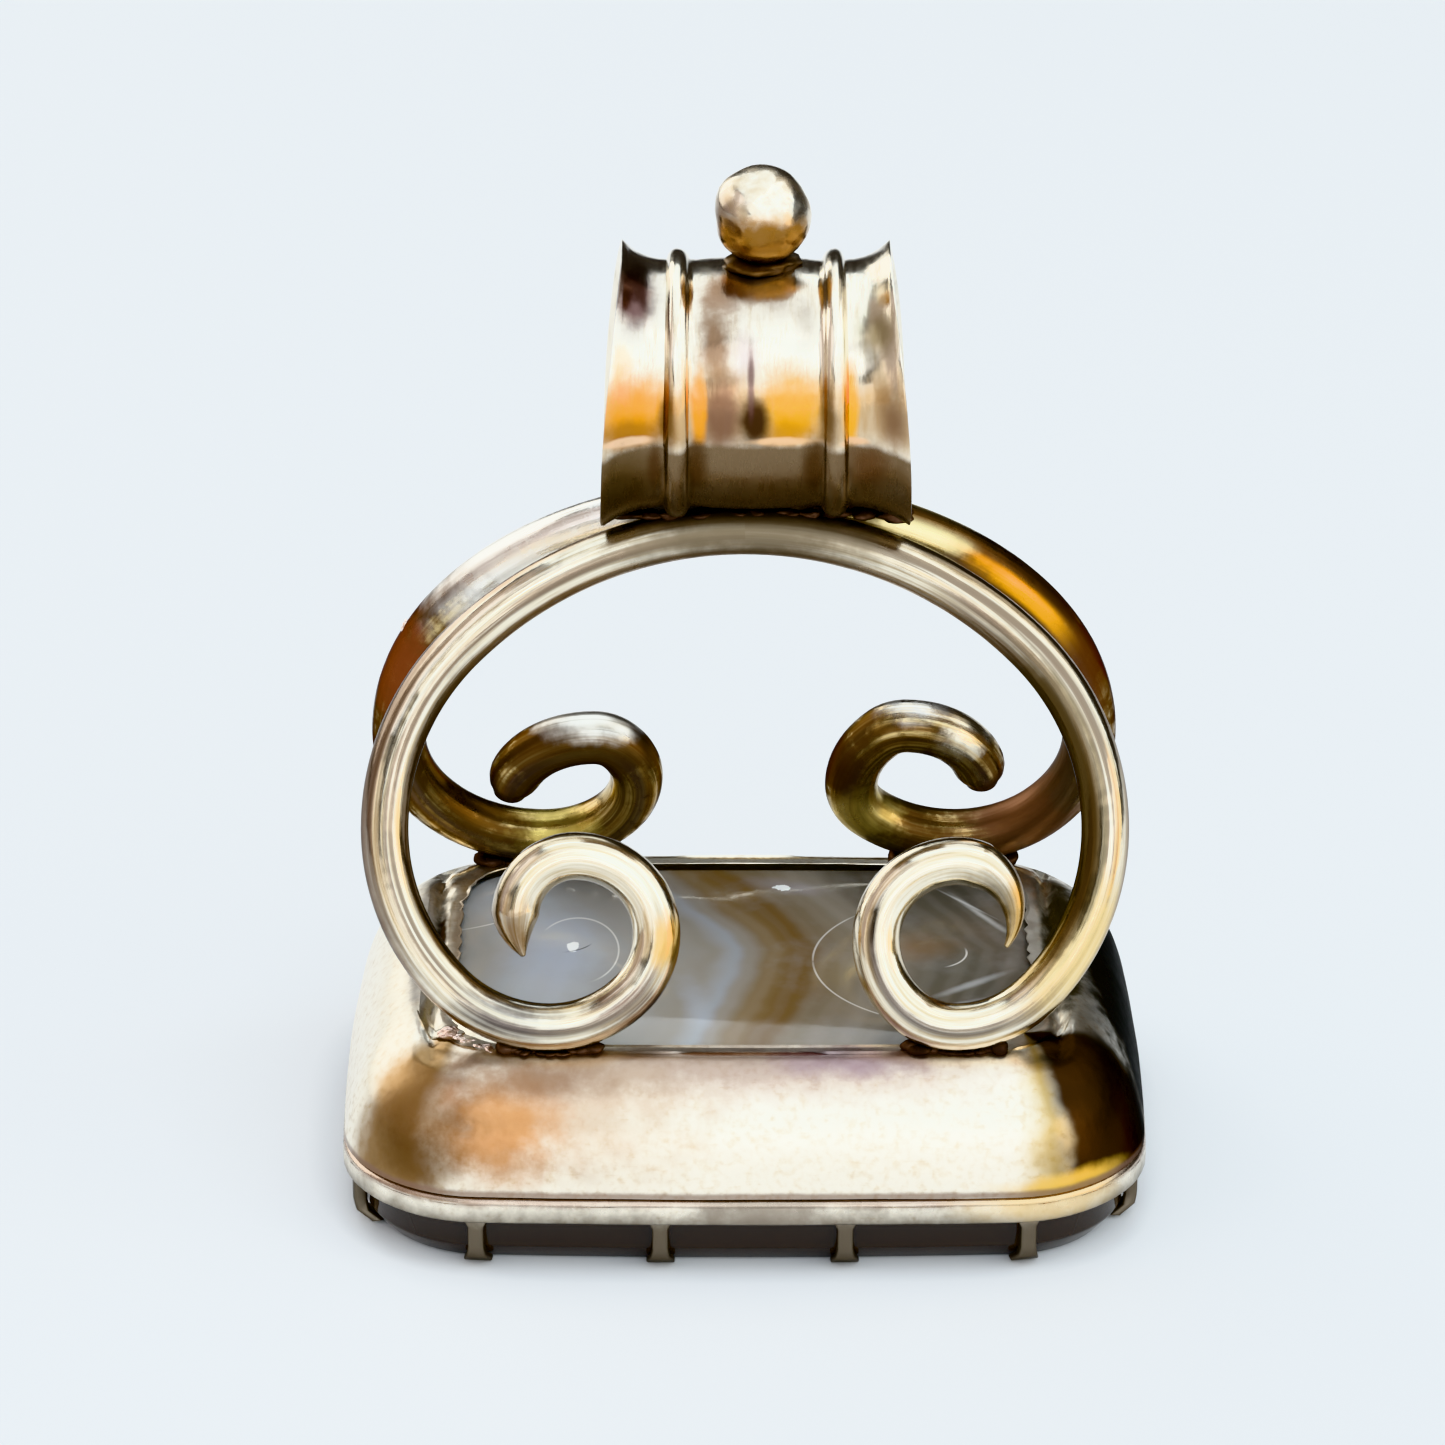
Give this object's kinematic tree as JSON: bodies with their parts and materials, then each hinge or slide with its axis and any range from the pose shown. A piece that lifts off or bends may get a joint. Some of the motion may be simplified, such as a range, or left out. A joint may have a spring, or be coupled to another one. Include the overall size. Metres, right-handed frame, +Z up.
{
  "type": "fob seal",
  "caption": "Gold fob seal: a cushion-shaped agate in a claw band and sloping collar, under a handle of two scrolled wires with a ribbed bail and a bead.",
  "frame": {"origin": "middle of the stone's seal face, which the seal stands on", "axes": "+Z up through the bail and bead, +X to the right along the bail and the long side of the stone, -Y to the front scroll"},
  "size_m": [0.0208, 0.0158, 0.0271],
  "materials": {
    "agate": "polished",
    "gold_setting": "satin, worn",
    "gold_wire": "polished, tarnished in the hollows",
    "gold_bail": "polished, worn"
  },
  "bodies": {
    "root": {"seal_stone": "agate", "claw_band": "gold_setting", "collar": "gold_setting", "front_scroll": "gold_wire", "back_scroll": "gold_wire", "bail": "gold_bail"}
  },
  "joints": []
}
